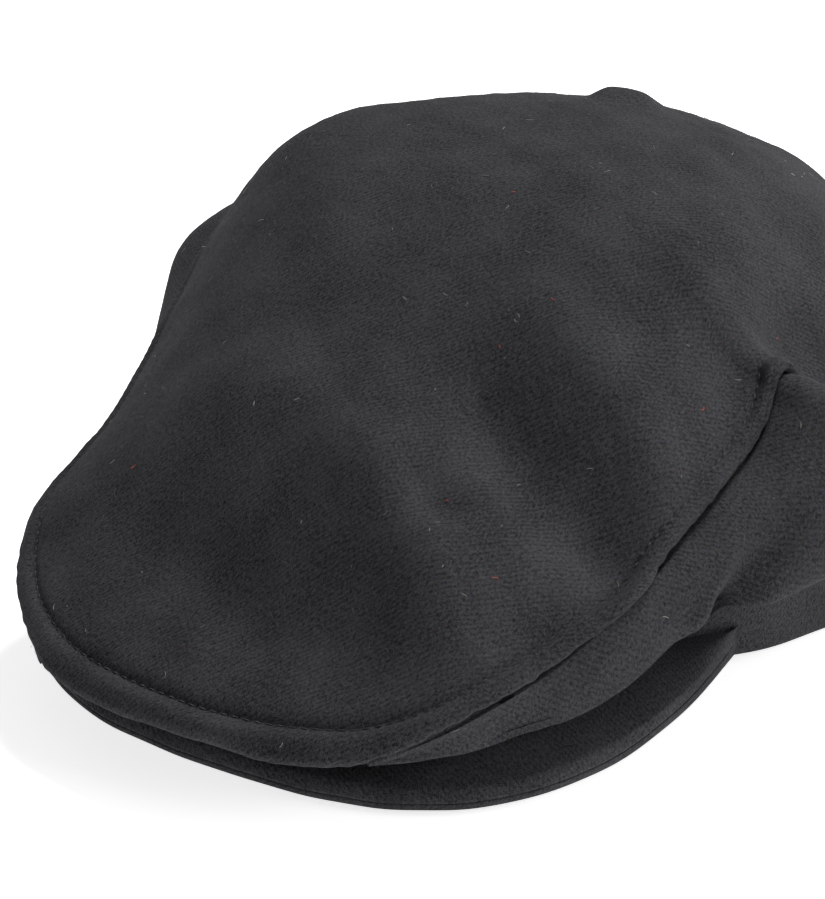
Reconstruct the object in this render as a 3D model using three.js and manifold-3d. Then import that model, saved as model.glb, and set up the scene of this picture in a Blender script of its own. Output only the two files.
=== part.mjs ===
// A newsboy (flat) cap lying on a table: one large top panel, two side panels, a headband,
// a stiffened visor, a sweatband, a lining, and a press stud that holds the crown's front
// lip down on the visor. Millimetres, +Z up, the visor points along -Y.
// Lengths are first given from the centre of the head opening, and the whole group is then
// moved along Y so that the origin is the middle of the footprint, on the table.
import * as THREE from 'three';
import { mergeVertices } from 'three/addons/utils/BufferGeometryUtils.js';
import Module from 'manifold-3d';

const wasm = await Module();
wasm.setup();

// ---------------------------------------------------------------- driving dimensions
const BAND_HALF_WIDTH = 89.5;      // outer face of the headband, at the sides
const BAND_HALF_LENGTH = 101;      // outer face of the headband, front and back
const BAND_TOP = 24;
const BAND_THICKNESS = 2.6;
const BAND_FRONT_RISE = 13;        // the lower edge arches over the forehead by this much
const BAND_ARCH_ANGLE = 115;       // degrees each side of the front over which it arches
const SWEAT_GAP = 0.8;
const SWEAT_THICKNESS = 1.4;
const SWEAT_TOP = 33;
const SWEAT_BOTTOM_LIFT = 1.5;
const WOOL = 2.0;                  // thickness of the felted wool panels
const LINING = 0.8;
const CLEARANCE = 0.4;             // between pieces that lie on each other

const VISOR_CORNER_ANGLE = 57;     // degrees round the headband from the front centre
const VISOR_HALF_WIDTH = 75.4;
const VISOR_FRONT = -139;
const VISOR_CORNER_Y = -55.5;
const VISOR_ROUNDNESS = 0.75;      // 1 is an ellipse, less is squarer
const VISOR_ROOT_HEIGHT = 14;      // middle of the visor's thickness at the headband
const VISOR_ROOT_DROP = 5;         // how much lower that is at the corners
const VISOR_RIM_HEIGHT = 3.2;
const VISOR_RIM_RISE = 5.5;        // how much higher the rim is at the corners
const VISOR_CROWN = 1.2;           // bulge between headband and rim
const VISOR_END = 0.97;            // the layers stop just short of the pointed corners
const COVER = 1.4;
const BOARD = 1.6;
const BOARD_INSET = 0.06;          // share of the visor's depth left free at the rim

const FLAP_BACK_Y = -103.3;        // the lip's facing, from the headband to the lip
const FLAP_FRONT_Y = -144;
const FLAP_HALF_WIDTH = 52;
const FLAP_SIDE_DEPTH = 4;
const FLAP_THICKNESS = 1.4;
const FLAP_LIFT = 3.6;             // underside above the visor at the headband
const FLAP_FRONT_LIFT = 5.0;       // further rise to the lip
const FLAP_ROUNDNESS = 2.6;        // power of its front outline, 2 is an ellipse's
const STUD_Y = -124;
const STUD_POST_HOLE = 1.6;        // radius of the hole in the visor's cover
const STUD_PLATE_HOLE = 5.6;       // radius of the hole in the board round the post's plate
const SOCKET_HOLE = 1.9;           // radius of the hole in the lip's facing

const TOP_TRIM = 0.22;             // ring stations the top panel leaves free at front and back
const ARCH_FRONT_POWER = 2.4;      // the top panel's arches are round at the front
const ARCH_BACK_POWER = 4.2;       // and flat with steep edges further back
const ARCH_CHANGE = [-120, -20];   // the lengthwise stretch over which that changes
const MIN_ARCH_RISE = 0.4;
const SIDE_START = 3.3;            // ring station where the side panel's point begins
const SEAM_TUCK = 3.5;             // the side panel starts this far under the top panel
const SHOULDER_SHARE = 0.22;       // how far down the side panel its steepest part begins
const HEM_SCALE = [0.965, 0.975, 0.96];  // the free hem at the front turns in under the fold
const HEM_CHANGE = [-80, -50];     // the lengthwise stretch from free hem to headband
const TUCK_GROW = 3.2;             // further back the panel ends this far outside the headband
const TUCK_LIFT = 2.4;             // and this far above its top
const CENTRE_BACK_GAP = 0.5;       // from the seam at the centre of the back
const LINING_POWER = 3;
const LINING_SEAM_OUT = 0.6;       // the lining's sides start outside and below its top panel
const LINING_SEAM_DROP = 1.6;
const LINING_FOOT_GROW = 1.2;      // and end just outside and above the sweatband
const LINING_FOOT_LIFT = 0.8;
const LINING_BULGE_OUT = 0.75;     // share of the way out at which the lining's sides are fullest
const LINING_BULGE_DOWN = 0.35;    // and share of the way down
const FOOTPRINT_SHIFT = 19.75;     // head-opening centre to middle of the footprint

// Stations run from the middle of the front round to the middle of the back.
// The seam between the top panel and a side panel; at the front it is the lip itself.
const SEAM = [
  [0, -151, 16.5], [18, -149.5, 17], [34, -145, 19], [44, -138, 23], [54, -124.5, 27.5],
  [60.5, -110, 31], [65, -97, 35.5], [68, -78, 40.5], [71, -54, 47.5], [75, -28, 57],
  [78, 0, 64], [71, 34, 66], [54, 66, 63], [30, 88, 60], [0, 97, 59],
];
// The lowest and outermost fold of the crown.
const FOLD = [
  [0, -151, 15], [18, -149.5, 15], [34, -143.5, 15], [45, -133, 15.5], [55.5, -121, 16.5],
  [65, -105, 18.5], [71, -89, 20], [77, -73, 24], [86, -54, 26], [93.5, -28, 28],
  [96.5, 4, 30], [90.5, 40, 32], [71, 76, 33], [40, 102, 33], [0, 111.5, 33],
];
// Height of the top panel along the middle: [y, z].
const SPINE = [
  [-151, 17], [-144, 22.5], [-124, 36.5], [-100, 50.5], [-78, 62.5], [-50, 76], [-20, 87],
  [5, 91], [28, 91.5], [47, 89.5], [66, 83], [85, 73], [97, 60],
];
// The lining's top panel: [y, half width, height at its edge, height in the middle].
const LINING_TOP = [
  [-90, 24, 35.5, 37], [-84, 38, 36, 44], [-76, 48, 37, 54], [-60, 58, 40, 64.5],
  [-30, 66, 48, 77.5], [0, 68, 55, 85], [34, 62, 58, 84], [62, 46, 55, 74], [80, 27, 51, 62],
  [86, 14, 50, 54],
];

// How finely the surfaces are divided.
const TOP_ROWS = 34;
const TOP_STEPS = 22;
const SIDE_ROWS = 30;
const UPPER_SIDE_STEPS = 6;
const LOWER_SIDE_STEPS = 3;
const BAND_SEGMENTS = 72;
const LINING_TOP_ROWS = 20;
const LINING_TOP_STEPS = 14;
const LINING_SIDE_ROWS = 22;
const LINING_SIDE_STEPS = 4;
const VISOR_ROWS = 36;
const VISOR_STEPS = 6;
const FLAP_ROWS = 20;
const FLAP_STEPS = 7;
const SNAP_SEGMENTS = 28;
const PROFILE_STEPS = 12;

// ---------------------------------------------------------------- helpers
const vec = (x, y, z) => new THREE.Vector3(x, y, z);
const radians = (degrees) => THREE.MathUtils.degToRad(degrees);
const mix = THREE.MathUtils.lerp;
const range = (count, make) => Array.from({ length: count }, (_, index) => make(index));

// A closed ring through its right-hand stations and their mirror images.
function ringCurve(stations) {
  const right = stations.map((p) => vec(...p));
  const left = right.slice(1, -1).reverse().map((p) => vec(-p.x, p.y, p.z));
  return new THREE.CatmullRomCurve3([...right, ...left], true);
}

const seamCurve = ringCurve(SEAM);
const foldCurve = ringCurve(FOLD);
const halfStations = SEAM.length - 1;
const onRing = (curve, station) => curve.getPoint(station / (2 * halfStations));

// Smooth curve through [key, value] rows.
function profile(rows, column = 1) {
  const curve = new THREE.SplineCurve(rows.map((row) => new THREE.Vector2(row[0], row[column])));
  const steps = curve.getPoints(rows.length * PROFILE_STEPS);
  return (key) => {
    const next = Math.max(1, steps.findIndex((p) => p.x >= key));
    const a = steps[next - 1];
    const b = steps[next];
    return mix(a.y, b.y, THREE.MathUtils.clamp((key - a.x) / (b.x - a.x), 0, 1));
  };
}

function bodyFrom(points, triangles) {
  const flat = points.flatMap((p) => [p.x, p.y, p.z]);
  let volume = 0;
  for (const [a, b, c] of triangles) {
    volume += points[a].dot(points[b].clone().cross(points[c]));
  }
  const faces = volume > 0 ? triangles : triangles.map(([a, b, c]) => [a, c, b]);
  const geometry = new THREE.BufferGeometry();
  geometry.setAttribute('position', new THREE.Float32BufferAttribute(flat, 3));
  geometry.setIndex(faces.flat());
  return geometry;
}

// A closed shell from a grid of outer points, thickened along the grid's own normals.
// With ring = true the rows close on themselves.
function shell(rows, thickness, { ring = false, inward = 1 } = {}) {
  const rowCount = rows.length;
  const width = rows[0].length;
  const clamp = (i) => THREE.MathUtils.clamp(i, 0, rowCount - 1);
  const wrap = (i) => (ring ? (i + rowCount) % rowCount : clamp(i));
  const inner = rows.map((row, i) => row.map((point, j) => {
    const along = rows[wrap(i + 1)][j].clone().sub(rows[wrap(i - 1)][j]);
    const across = row[Math.min(j + 1, width - 1)].clone().sub(row[Math.max(j - 1, 0)]);
    const normal = along.cross(across).normalize();
    return point.clone().addScaledVector(normal, thickness * inward);
  }));
  return joinSurfaces(rows, inner, ring);
}

// Closes the space between two matching grids of points.
function joinSurfaces(outer, inner, ring = false) {
  const rowCount = outer.length;
  const width = outer[0].length;
  const points = [...outer.flat(), ...inner.flat()];
  const at = (side, i, j) => side * rowCount * width + (i % rowCount) * width + j;
  const triangles = [];
  const quad = (a, b, c, d) => triangles.push([a, b, c], [a, c, d]);
  const lastRow = ring ? rowCount : rowCount - 1;
  for (let i = 0; i < lastRow; i += 1) {
    for (let j = 0; j < width - 1; j += 1) {
      quad(at(0, i, j), at(0, i + 1, j), at(0, i + 1, j + 1), at(0, i, j + 1));
      quad(at(1, i, j), at(1, i, j + 1), at(1, i + 1, j + 1), at(1, i + 1, j));
    }
    quad(at(0, i, 0), at(1, i, 0), at(1, i + 1, 0), at(0, i + 1, 0));
    quad(at(0, i, width - 1), at(0, i + 1, width - 1), at(1, i + 1, width - 1), at(1, i, width - 1));
  }
  if (!ring) {
    for (let j = 0; j < width - 1; j += 1) {
      quad(at(0, 0, j), at(0, 0, j + 1), at(1, 0, j + 1), at(1, 0, j));
      const end = rowCount - 1;
      quad(at(0, end, j), at(1, end, j), at(1, end, j + 1), at(0, end, j + 1));
    }
  }
  return bodyFrom(points, triangles);
}

function toSolid(geometry) {
  const bare = geometry.clone();
  bare.deleteAttribute('normal');
  bare.deleteAttribute('uv');
  const merged = mergeVertices(bare, 1e-4);
  return new wasm.Manifold(new wasm.Mesh({
    numProp: 3,
    vertProperties: new Float32Array(merged.attributes.position.array),
    triVerts: new Uint32Array(merged.index.array),
  }));
}

function cut(geometry, tool) {
  const { vertProperties, triVerts } = toSolid(geometry).subtract(toSolid(tool)).getMesh();
  const result = new THREE.BufferGeometry();
  result.setAttribute('position', new THREE.BufferAttribute(new Float32Array(vertProperties), 3));
  result.setIndex(new THREE.BufferAttribute(new Uint32Array(triVerts), 1));
  return result;
}

const lathe = (outline) => new THREE.LatheGeometry(
  outline.map(([r, z]) => new THREE.Vector2(r, z)), SNAP_SEGMENTS).rotateX(Math.PI / 2);

// ---------------------------------------------------------------- materials
const material = (color, roughness, metalness = 0) => new THREE.MeshStandardMaterial({
  color, roughness, metalness, flatShading: false,
});
const wool = () => material(0x17181b, 0.95);
const satin = () => material(0x1c1c20, 0.4);
const cotton = () => material(0x202022, 0.85);
const board = () => material(0xd8d4c8, 0.6);
const steel = () => material(0x9a9a9c, 0.35, 1);

// ---------------------------------------------------------------- crown shell
const spineHeight = profile(SPINE);

// One crosswise arch of a top panel: flat in the middle and steep at the edges.
function arch(y, halfWidth, edge, middle, steps, power) {
  return range(steps + 1, (j) => {
    const share = Math.cos((Math.PI * j) / steps);
    const rise = 1 - Math.abs(share) ** power;
    return vec(halfWidth * share, y, mix(edge, middle, rise));
  });
}

function topPanel() {
  const rows = range(TOP_ROWS + 1, (i) => {
    const p = onRing(seamCurve, mix(TOP_TRIM, halfStations - TOP_TRIM, i / TOP_ROWS));
    const backShare = THREE.MathUtils.smoothstep(p.y, ...ARCH_CHANGE);
    const power = mix(ARCH_FRONT_POWER, ARCH_BACK_POWER, backShare);
    const middle = Math.max(spineHeight(p.y), p.z + MIN_ARCH_RISE);
    return arch(p.y, p.x, p.z, middle, TOP_STEPS, power);
  });
  return shell(rows, WOOL, { inward: -1 });
}

const bandPoint = (angle, grow, z) => vec(
  (BAND_HALF_WIDTH + grow) * Math.sin(angle), -(BAND_HALF_LENGTH + grow) * Math.cos(angle), z);
const bandAngle = (p) => Math.atan2(p.x / BAND_HALF_WIDTH, -p.y / BAND_HALF_LENGTH);

function sidePanel() {
  const rows = range(SIDE_ROWS + 1, (i) => {
    const station = mix(SIDE_START, halfStations, i / SIDE_ROWS);
    const seam = onRing(seamCurve, station).add(vec(0, 0, -SEAM_TUCK));
    const fold = onRing(foldCurve, station);
    const shoulder = vec(fold.x, fold.y, mix(seam.z, fold.z, SHOULDER_SHARE));
    const tucked = bandPoint(bandAngle(fold), TUCK_GROW, BAND_TOP + TUCK_LIFT);
    const hem = fold.clone().multiply(vec(...HEM_SCALE));
    const end = hem.lerp(tucked, THREE.MathUtils.smoothstep(fold.y, ...HEM_CHANGE));
    const under = vec(fold.x, fold.y, end.z);
    const upper = new THREE.QuadraticBezierCurve3(seam, shoulder, fold);
    const lower = new THREE.QuadraticBezierCurve3(fold, under, end);
    return [...upper.getPoints(UPPER_SIDE_STEPS), ...lower.getPoints(LOWER_SIDE_STEPS).slice(1)];
  });
  for (const row of rows) {
    for (const p of row) p.x = Math.max(p.x, CENTRE_BACK_GAP);
  }
  return shell(rows, WOOL, { inward: 1 });
}

// ---------------------------------------------------------------- headband and sweatband
function bandBottom(angle) {
  const degrees = Math.abs(THREE.MathUtils.radToDeg(angle));
  if (degrees >= BAND_ARCH_ANGLE) return 0;
  return BAND_FRONT_RISE * Math.cos((Math.PI / 2) * (degrees / BAND_ARCH_ANGLE)) ** 2;
}

function ovalBand(grow, thickness, lift, top) {
  const face = (offset) => range(BAND_SEGMENTS, (i) => {
    const angle = -Math.PI + (2 * Math.PI * i) / BAND_SEGMENTS;
    const bottom = bandBottom(angle) + lift;
    return [bandPoint(angle, offset, bottom), bandPoint(angle, offset, top)];
  });
  return joinSurfaces(face(grow), face(grow - thickness), true);
}

const sweatGrow = -BAND_THICKNESS - SWEAT_GAP;

// ---------------------------------------------------------------- lining
function liningTop() {
  const halfWidth = profile(LINING_TOP, 1);
  const edge = profile(LINING_TOP, 2);
  const middle = profile(LINING_TOP, 3);
  const [frontY, backY] = [LINING_TOP[0][0], LINING_TOP.at(-1)[0]];
  const rows = range(LINING_TOP_ROWS + 1, (i) => {
    const y = mix(frontY, backY, (1 - Math.cos((Math.PI * i) / LINING_TOP_ROWS)) / 2);
    return arch(y, halfWidth(y), edge(y), middle(y), LINING_TOP_STEPS, LINING_POWER);
  });
  return shell(rows, LINING, { inward: -1 });
}

function liningSide() {
  const inner = sweatGrow - SWEAT_THICKNESS;
  const stations = LINING_TOP.slice(1).map(
    ([y, x, z]) => vec(x + LINING_SEAM_OUT, y, z - LINING_SEAM_DROP));
  const upperEdge = new THREE.CatmullRomCurve3(stations);
  const rows = range(LINING_SIDE_ROWS + 1, (i) => {
    const upper = upperEdge.getPoint(i / LINING_SIDE_ROWS);
    const lower = bandPoint(bandAngle(upper), inner + LINING_FOOT_GROW, SWEAT_TOP + LINING_FOOT_LIFT);
    const bulge = upper.clone().lerp(lower, LINING_BULGE_OUT);
    bulge.z = mix(upper.z, lower.z, LINING_BULGE_DOWN);
    return new THREE.QuadraticBezierCurve3(upper, bulge, lower).getPoints(LINING_SIDE_STEPS);
  });
  return shell(rows, LINING, { inward: 1 });
}

// ---------------------------------------------------------------- visor
const signedPower = (value, power) => Math.sign(value) * Math.abs(value) ** power;

function visorPoint(t, depth, offset) {
  const inner = bandPoint(radians(VISOR_CORNER_ANGLE) * t, CLEARANCE, 0);
  const turn = (Math.PI / 2) * t;
  const rim = vec(
    VISOR_HALF_WIDTH * signedPower(Math.sin(turn), VISOR_ROUNDNESS),
    mix(VISOR_CORNER_Y, VISOR_FRONT, Math.abs(Math.cos(turn)) ** VISOR_ROUNDNESS), 0);
  const root = VISOR_ROOT_HEIGHT - VISOR_ROOT_DROP * t * t;
  const edge = VISOR_RIM_HEIGHT + VISOR_RIM_RISE * t * t;
  const point = inner.lerp(rim, depth);
  point.z = mix(root, edge, depth) + VISOR_CROWN * Math.sin(Math.PI * depth) + offset;
  return point;
}

function visorLayer(low, high, rimShare) {
  const surface = (offset) => range(VISOR_ROWS + 1, (i) => {
    const t = VISOR_END * Math.sin((Math.PI / 2) * (-1 + (2 * i) / VISOR_ROWS));
    return range(VISOR_STEPS + 1, (j) => visorPoint(t, (j / VISOR_STEPS) * rimShare, offset));
  });
  return joinSurfaces(surface(high), surface(low));
}

const coverTop = BOARD / 2 + CLEARANCE + COVER;
const coverBottom = BOARD / 2 + CLEARANCE;

// ---------------------------------------------------------------- lip facing and press stud
const visorSlope = (VISOR_ROOT_HEIGHT - VISOR_RIM_HEIGHT) / (-VISOR_FRONT - BAND_HALF_LENGTH);
const studDepth = (-STUD_Y - BAND_HALF_LENGTH - CLEARANCE) / (-VISOR_FRONT - BAND_HALF_LENGTH);
const studBase = visorPoint(0, studDepth, coverTop);

function facingHeight(y) {
  const share = (FLAP_BACK_Y - y) / (FLAP_BACK_Y - FLAP_FRONT_Y);
  const aboveVisor = VISOR_ROOT_HEIGHT + coverTop + visorSlope * (y + BAND_HALF_LENGTH);
  return aboveVisor + FLAP_LIFT + VISOR_CROWN + FLAP_FRONT_LIFT * share ** 3;
}

function lipFacing() {
  const surface = (offset) => range(FLAP_ROWS + 1, (i) => {
    const share = -1 + (2 * i) / FLAP_ROWS;
    const sideFront = FLAP_BACK_Y - FLAP_SIDE_DEPTH;
    const front = mix(FLAP_FRONT_Y, sideFront, Math.abs(share) ** FLAP_ROUNDNESS);
    return range(FLAP_STEPS + 1, (j) => {
      const y = mix(FLAP_BACK_Y, front, j / FLAP_STEPS);
      return vec(FLAP_HALF_WIDTH * share, y, facingHeight(y) + offset);
    });
  });
  return joinSurfaces(surface(FLAP_THICKNESS), surface(0));
}

// Heights along the stud's axis, from the visor cover's upper face.
const studTilt = Math.atan(visorSlope);
const placeAtStud = (geometry) => geometry.clone()
  .rotateX(studTilt).translate(studBase.x, studBase.y, studBase.z);
const drill = (radius, low, high) => placeAtStud(lathe([
  [0, low], [radius, low], [radius, high], [0, high],
]));

const stud = lathe([
  [0, 0.3], [5.5, 0.3], [5.5, 0.9], [2.3, 1.0], [2.3, 1.6], [2.6, 1.9], [2.5, 2.4], [1.8, 2.6],
  [0, 2.6],
]);
const studPost = lathe([
  [0, -2.3], [5, -2.3], [5, -1.8], [1.2, -1.8], [1.2, 0.0], [0, 0.0],
]);
const socket = lathe([
  [3.0, 1.3], [5.6, 1.3], [5.6, 3.0], [5.2, 3.3], [1.7, 3.3], [1.7, 2.9], [3.0, 2.9], [3.0, 1.3],
]);
const socketCap = lathe([
  [0, 3.0], [1.3, 3.0], [1.3, 6.5], [5.5, 6.5], [5.5, 7.0], [4.6, 7.3], [0, 7.3],
]);

// ---------------------------------------------------------------- the assembly
const cap = new THREE.Group();
cap.position.y = FOOTPRINT_SHIFT;

function add(name, geometry, look) {
  const mesh = new THREE.Mesh(geometry, look);
  mesh.name = name;
  cap.add(mesh);
  return mesh;
}

function mirrored(geometry) {
  const copy = geometry.clone().scale(-1, 1, 1);
  const index = Array.from(copy.index.array);
  for (let i = 0; i < index.length; i += 3) [index[i], index[i + 1]] = [index[i + 1], index[i]];
  copy.setIndex(index);
  return copy;
}

const side = sidePanel();
const liningSidePanel = liningSide();
add('top_panel', topPanel(), wool());
add('left_side_panel', side, wool());
add('right_side_panel', mirrored(side), wool());
add('headband', ovalBand(0, BAND_THICKNESS, 0, BAND_TOP), wool());
add('sweatband', ovalBand(sweatGrow, SWEAT_THICKNESS, SWEAT_BOTTOM_LIFT, SWEAT_TOP), cotton());
add('lining_top', liningTop(), satin());
add('lining_left', liningSidePanel, satin());
add('lining_right', mirrored(liningSidePanel), satin());
const topCover = visorLayer(coverBottom, coverTop, 1);
const stiffener = visorLayer(-BOARD / 2, BOARD / 2, 1 - BOARD_INSET);
add('visor_top_cover', cut(topCover, drill(STUD_POST_HOLE, -3, 2)), wool());
add('visor_board', cut(stiffener, drill(STUD_PLATE_HOLE, -6, 2)), board());
add('visor_under_cover', visorLayer(-coverTop, -coverBottom, 1), wool());
add('lip_facing', cut(lipFacing(), drill(SOCKET_HOLE, 0, 9)), cotton());
add('snap_stud', placeAtStud(stud), steel());
add('snap_stud_post', placeAtStud(studPost), steel());
add('snap_socket', placeAtStud(socket), steel());
add('snap_socket_cap', placeAtStud(socketCap), steel());

export default cap;
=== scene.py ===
import math
import random

import bpy
import numpy as np
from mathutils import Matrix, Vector


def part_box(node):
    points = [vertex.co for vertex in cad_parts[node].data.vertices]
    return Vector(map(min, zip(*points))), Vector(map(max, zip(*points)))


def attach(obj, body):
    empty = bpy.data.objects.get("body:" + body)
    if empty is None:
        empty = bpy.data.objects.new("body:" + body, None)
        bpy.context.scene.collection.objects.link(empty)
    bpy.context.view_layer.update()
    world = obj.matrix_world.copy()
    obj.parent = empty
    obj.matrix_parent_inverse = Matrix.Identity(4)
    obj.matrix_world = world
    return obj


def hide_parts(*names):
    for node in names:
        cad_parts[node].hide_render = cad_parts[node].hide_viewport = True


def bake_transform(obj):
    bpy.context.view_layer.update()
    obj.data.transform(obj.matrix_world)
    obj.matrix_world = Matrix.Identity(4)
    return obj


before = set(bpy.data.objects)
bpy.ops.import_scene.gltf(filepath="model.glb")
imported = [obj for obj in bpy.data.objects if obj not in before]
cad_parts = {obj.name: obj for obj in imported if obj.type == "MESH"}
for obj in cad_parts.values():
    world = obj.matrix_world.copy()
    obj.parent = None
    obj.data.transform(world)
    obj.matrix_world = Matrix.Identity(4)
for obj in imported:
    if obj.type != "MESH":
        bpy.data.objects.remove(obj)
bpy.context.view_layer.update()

# A black wool newsboy (flat) cap: the cloth panels, headband, visor covers, lining, stitches and
# loose fibres that stand in for the plain CAD solids. Lengths here are millimetres from the centre
# of the head opening at table height, +X to the wearer's left and +Y to the back. place() turns
# them into the frame's metres.
MM = 0.001
BAND_LOW, BAND_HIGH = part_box("headband")
HEAD_CENTRE_Y = (BAND_LOW.y + BAND_HIGH.y) / 2 / MM
BAND_HALF_WIDTH = (BAND_HIGH.x - BAND_LOW.x) / 2 / MM
BAND_HALF_LENGTH = (BAND_HIGH.y - BAND_LOW.y) / 2 / MM
BAND_TOP = BAND_HIGH.z / MM
BAND_THICKNESS = 2.6
BAND_RIPPLE = 0.25
_, SWEAT_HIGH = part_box("sweatband")
SWEAT_GROW = (SWEAT_HIGH.x - BAND_HIGH.x) / MM
SWEAT_TOP = SWEAT_HIGH.z / MM
SWEAT_LIFT = 1.5         # lower edge of the sweatband above the headband's
SWEAT_THICKNESS = 1.4
SWEAT_RIPPLE = 0.2
BAND_FRONT_RISE = 13     # how far the lower edge arches up over the forehead
BAND_ARCH_ANGLE = 84     # degrees each side of the front over which it does
BAND_ARCH_POWER = 1.3
BAND_FLARE = 1.4         # how far the headband's lower edge splays

WOOL = 2.0               # thickness of the felted wool
SEAM_ROLL = 1.25         # radius of the top panel's folded edge where it lies on a side panel
LIP_ROLL = 1.9           # and where it is the lip itself
STITCH_INSET = 3.6       # from the folded edge to the topstitch at the sides
LIP_STITCH_INSET = 5.6   # and along the lip
STITCH_PITCH = 2.5
STITCH_LENGTH = 1.7
THREAD_RADIUS = 0.17

# The folded edge of the top panel from the middle of the front to the middle of the back: on the
# wearer's left, where the cloth has slumped into a kink, and on the right.
LEFT_SEAM = [
    (0, -151, 17.2), (18, -149.5, 17.6), (34, -145, 19.4), (44, -138, 23), (54, -124.5, 27.5),
    (60.5, -110, 31), (65, -97, 35.5), (68, -78, 40.5), (71, -54, 47.5), (71.7, -42, 52),
    (71.3, -35.5, 57), (70.8, -32, 61.5), (71.8, -28, 61.6), (74, -22.5, 54.5), (75.8, -17, 48),
    (77.5, -7, 45), (77.5, 14, 49), (73, 38, 55),
    (56, 66, 56), (30, 88, 57), (0, 97, 57),
]
RIGHT_SEAM = [
    (0, -151, 17.2), (-18, -149.8, 17.5), (-34, -146, 18.5), (-44.5, -139.5, 20.5),
    (-54.5, -130, 23.2), (-61.5, -119.5, 25.6), (-65.3, -111, 28), (-66.8, -103, 30.2),
    (-66.3, -94, 33.4), (-66.3, -82, 37.6), (-69, -65, 43), (-73, -47, 49.5), (-76, -28, 57),
    (-78, 0, 64), (-71, 34, 63), (-54, 66, 60), (-30, 88, 58.5), (0, 97, 57),
]
# The lowest and outermost fold of each side panel, from the lip to the middle of the back. In
# front of the headband it is the panel's free edge, which hangs over the visor.
LEFT_FOLD = [
    (36, -142, 16), (45, -133.5, 15.5), (55.5, -121, 15.8), (65, -105, 16.9), (70.5, -91, 20.8),
    (75, -80, 25), (81, -67, 25.2), (88, -54, 26.4), (93, -40, 28.6), (95.5, -20, 31),
    (96.5, 4, 32.4), (90.5, 40, 32.6), (71, 76, 32.6), (40, 102, 32.5), (0, 111.5, 32.5),
]
RIGHT_FOLD = [
    (-34, -142.5, 16), (-43, -135, 16), (-53, -122, 16.5), (-60, -105, 18.5), (-64, -89, 20),
    (-71, -73, 23.5), (-81, -54, 25.5), (-92, -28, 27), (-96, 4, 29), (-90.5, 40, 31),
    (-71, 76, 32), (-40, 102, 32.5), (0, 111.5, 32.5),
]
SIDE_POINT_Y = -143.5     # where each side panel's point begins
# How full each side panel is between seam and fold: (y, share).
LEFT_FULL = [(-150, 0.6), (-80, 0.7), (-50, 0.9)]
RIGHT_FULL = [(-150, 0.5), (-60, 0.15), (-30, 0.45), (0, 0.9)]
# On the left the lip's edge runs on upwards as a ridge, with a crease behind it and a bulge over
# the headband: stations, half width, height.
LEFT_PATHS = [
    ([(75, -81, 24), (76, -77, 28.5), (77, -72, 33), (78.5, -67, 37), (81, -60, 40)], 2.6, 1.7),
    ([(77.5, -75, 24), (79, -69, 28.5), (81, -63, 32.5), (84, -56, 35.5), (87, -47, 37)],
     4.2, -2.6),
    ([(81, -68, 25.5), (88, -55, 26.5), (93, -42, 28), (95, -22, 30)], 6, 1.4),
]
# Soft bulges of the side panels: centre, radius, height.
LEFT_BULGES = [((92, -30, 46), 20, 2.0)]
RIGHT_BULGES = [((-90, -17, 54), 13, 4.2), ((-86, -38, 38), 14, -1.5)]
# Height of the top panel along its middle: (y, z).
SPINE = [
    (-151, 17.8), (-144, 22), (-134, 28), (-124, 35), (-112, 43), (-100, 50), (-78, 62),
    (-50, 75.5), (-20, 86), (5, 89.3), (24, 89.3), (38, 87), (55, 82), (72, 74.5), (88, 65),
    (97, 57.5),
]
# How square the top panel's crosswise arches are on each side: (y, power of a superellipse).
LEFT_ARCH = [(-120, 2.4), (-20, 4.0), (20, 3.0), (60, 2.3)]
RIGHT_ARCH = [(-120, 2.4), (-60, 3.4), (-10, 5.0), (30, 3.0), (60, 2.3)]
# Soft folds and dents of the top panel: centre x and y, direction of the long axis in degrees
# from +X, half length, half width, height.
TOP_RELIEF = [
    (-8, -123, -12, 34, 10, -4.4),
    (-10, -90, -8, 34, 14, 3.4),
    (23, -107, -32, 26, 9, 3.8),
    (38, -120, -36, 16, 9, 2.6),
    (42, -106, -35, 16, 9, 1.6),
    (25, -100, -40, 7, 5, -1.3),
    (47, -86, -22, 34, 9, -5.0),
    (57, -67, -22, 30, 10, 4.4),
    (62, -84, -30, 14, 9, -2.6),
    (65, -24, 82, 20, 8, -6.4),
    (-62, 0, 80, 22, 12, 2.4),
    (1, 42, 20, 8, 8, 3.6),
    (42, 66, -40, 20, 9, 1.6),
]


def place(points):
    """Millimetres from the head opening's centre to the frame's metres."""
    return (np.asarray(points, float) + (0, HEAD_CENTRE_Y, 0)) * MM


# ---------------- curves
def smoothstep(value, low, high):
    share = np.clip((np.asarray(value, float) - low) / (high - low), 0, 1)
    return share * share * (3 - 2 * share)


def mix(a, b, share):
    return a + (b - a) * share


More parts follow.
